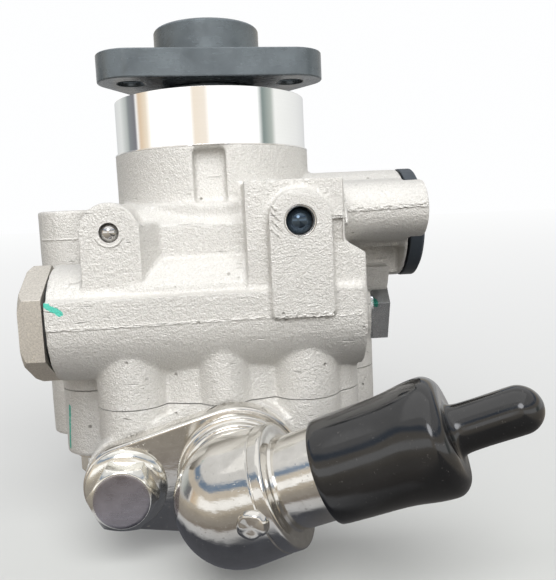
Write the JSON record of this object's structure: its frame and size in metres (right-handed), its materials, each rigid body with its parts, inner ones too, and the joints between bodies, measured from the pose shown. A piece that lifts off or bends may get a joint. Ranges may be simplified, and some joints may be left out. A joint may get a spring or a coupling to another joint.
{
  "type": "power steering pump",
  "caption": "Vane type power steering pump with cast alloy housing, triangular drive flange, flow control valve, outlet port and capped suction elbow.",
  "frame": {"origin": "on the shaft axis at the pulley seat of the drive flange", "axes": "+Z out along the shaft past the drive flange, +X along the valve gallery towards the outlet port, the elbow side faces -Y"},
  "size_m": [0.1063, 0.1304, 0.122],
  "materials": {
    "cast_alloy": "blasted casting with turned faces",
    "plate_alloy": "ground",
    "black_steel": "black oxide",
    "inner_steel": "ground",
    "plug_steel": "grainy plated",
    "plated_steel": "bright zinc plating",
    "bright_ball": "polished",
    "dark_ball": "dark polished",
    "bronze": "plain",
    "seal_rubber": "moulded",
    "black_plastic": "moulded",
    "black_vinyl": "dipped glossy"
  },
  "bodies": {
    "housing": {"front_housing": "cast_alloy", "rear_cover": "cast_alloy", "cover_seal": "seal_rubber", "cover_bolts": "plated_steel", "shaft_seal": "seal_rubber", "bearing_outer_ring": "inner_steel", "bearing_circlip": "inner_steel", "front_bush": "bronze", "rear_bush": "bronze", "cam_ring": "inner_steel", "dowel_pins": "inner_steel", "front_pressure_plate": "plate_alloy", "rear_pressure_plate": "plate_alloy", "rear_plate_seal": "seal_rubber", "control_spring": "inner_steel", "valve_plug": "plug_steel", "valve_plug_seal": "seal_rubber", "relief_valve": "plug_steel", "small_ball_plug": "bright_ball", "large_ball_plug": "dark_ball", "suction_elbow": "plated_steel", "elbow_seal": "seal_rubber", "elbow_bolt": "plated_steel"},
    "rotating_group": {"drive_shaft": "inner_steel", "drive_flange": "black_steel", "bearing_inner_ring": "inner_steel", "rotor": "inner_steel", "rotor_circlip": "inner_steel"},
    "ball_set": {"bearing_balls": "inner_steel", "bearing_cage": "bronze"},
    "vane_01": {"vane_01": "inner_steel"},
    "vane_02": {"vane_02": "inner_steel"},
    "vane_03": {"vane_03": "inner_steel"},
    "vane_04": {"vane_04": "inner_steel"},
    "vane_05": {"vane_05": "inner_steel"},
    "vane_06": {"vane_06": "inner_steel"},
    "vane_07": {"vane_07": "inner_steel"},
    "vane_08": {"vane_08": "inner_steel"},
    "vane_09": {"vane_09": "inner_steel"},
    "vane_10": {"vane_10": "inner_steel"},
    "spool": {"control_spool": "inner_steel"},
    "suction_cap": {"suction_cap": "black_vinyl"},
    "outlet_plug": {"outlet_plug": "black_plastic"}
  },
  "joints": [
    {"name": "shaft_spin", "type": "hinge", "parent": "housing", "child": "rotating_group", "pos_m": [0, 0, 0], "axis": [0, 0, 1], "continuous": true},
    {"name": "ball_set_spin", "type": "hinge", "parent": "housing", "child": "ball_set", "pos_m": [0, 0, 0], "axis": [0, 0, 1], "continuous": true},
    {"name": "vane_01_slide", "type": "slide", "parent": "rotating_group", "child": "vane_01", "axis": [1, 0, 0], "range_m": [-0.0014, 0]},
    {"name": "vane_02_slide", "type": "slide", "parent": "rotating_group", "child": "vane_02", "axis": [0.809, 0.5878, 0], "range_m": [-0.0014, 0]},
    {"name": "vane_03_slide", "type": "slide", "parent": "rotating_group", "child": "vane_03", "axis": [0.309, 0.9511, 0], "range_m": [-0.0014, 0]},
    {"name": "vane_04_slide", "type": "slide", "parent": "rotating_group", "child": "vane_04", "axis": [-0.309, 0.9511, 0], "range_m": [-0.0014, 0]},
    {"name": "vane_05_slide", "type": "slide", "parent": "rotating_group", "child": "vane_05", "axis": [-0.809, 0.5878, 0], "range_m": [-0.0014, 0]},
    {"name": "vane_06_slide", "type": "slide", "parent": "rotating_group", "child": "vane_06", "axis": [-1, 0, 0], "range_m": [-0.0014, 0]},
    {"name": "vane_07_slide", "type": "slide", "parent": "rotating_group", "child": "vane_07", "axis": [-0.809, -0.5878, 0], "range_m": [-0.0014, 0]},
    {"name": "vane_08_slide", "type": "slide", "parent": "rotating_group", "child": "vane_08", "axis": [-0.309, -0.9511, 0], "range_m": [-0.0014, 0]},
    {"name": "vane_09_slide", "type": "slide", "parent": "rotating_group", "child": "vane_09", "axis": [0.309, -0.9511, 0], "range_m": [-0.0014, 0]},
    {"name": "vane_10_slide", "type": "slide", "parent": "rotating_group", "child": "vane_10", "axis": [0.809, -0.5878, 0], "range_m": [-0.0014, 0]},
    {"name": "spool_slide", "type": "slide", "parent": "housing", "child": "spool", "axis": [-1, 0, 0], "range_m": [0, 0.006], "stiffness_N_per_m": 2000, "springref_m": -0.01, "deforming": ["control_spring"]},
    {"name": "outlet_plug_pull", "type": "slide", "parent": "housing", "child": "outlet_plug", "axis": [1, 0, 0], "range_m": [0, 0.06]},
    {"name": "suction_cap_pull", "type": "slide", "parent": "housing", "child": "suction_cap", "axis": [0.883, -0.309, 0.3532], "range_m": [0, 0.08]}
  ],
  "couplings": [
    {"joint": "ball_set_spin", "follows": "shaft_spin", "ratio": 0.383}
  ]
}
